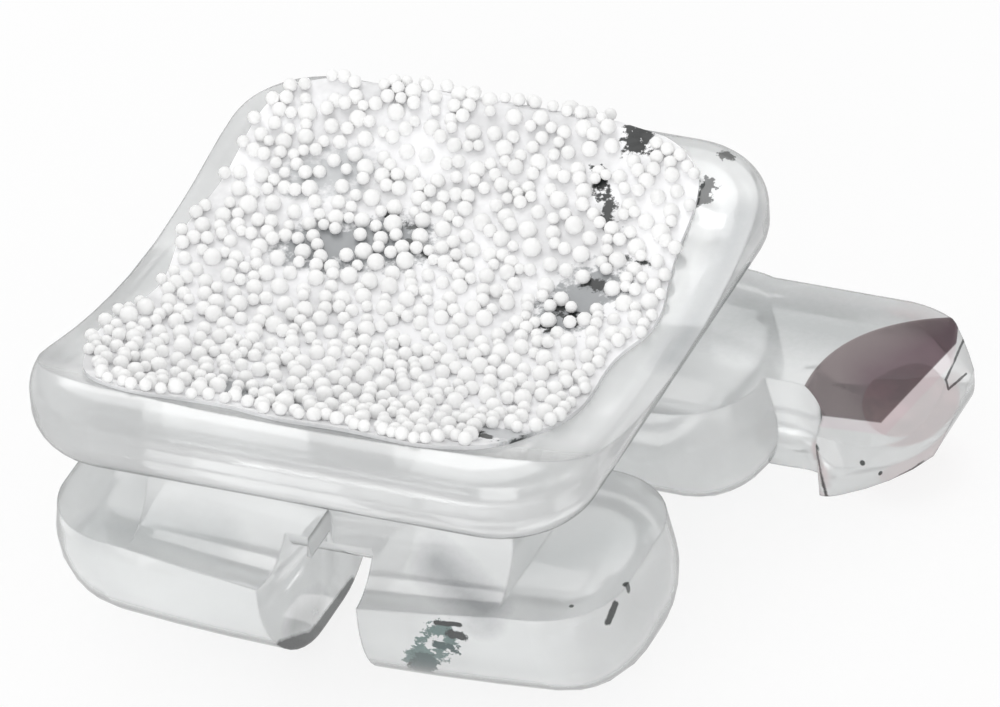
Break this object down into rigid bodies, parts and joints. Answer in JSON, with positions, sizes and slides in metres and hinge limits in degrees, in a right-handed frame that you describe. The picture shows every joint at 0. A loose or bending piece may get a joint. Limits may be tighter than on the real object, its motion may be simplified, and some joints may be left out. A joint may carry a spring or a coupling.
{
  "type": "orthodontic bracket",
  "caption": "Clear crystal orthodontic bracket with an arch wire slot, tie wings and a ligature hook, on a curved bonding base coated with small beads.",
  "frame": {"origin": "centre of the arch wire slot", "axes": "+Y along the slot from mesial to distal, +X to the gum (the hook's side), +Z to the tooth; it rests on the labial faces of its tie wings with the bonding base up"},
  "size_m": [0.0049, 0.004, 0.002],
  "materials": {
    "crystal": "clear polished single crystal",
    "glaze": "clear fired glaze with milky patches",
    "zirconia": "white opaque beads, satin",
    "mark_paint": "dark maroon paint seen through the crystal"
  },
  "bodies": {
    "root": {"bracket_body": "crystal", "glaze_film": "glaze", "retention_beads": "zirconia", "id_mark": "mark_paint"}
  },
  "joints": []
}
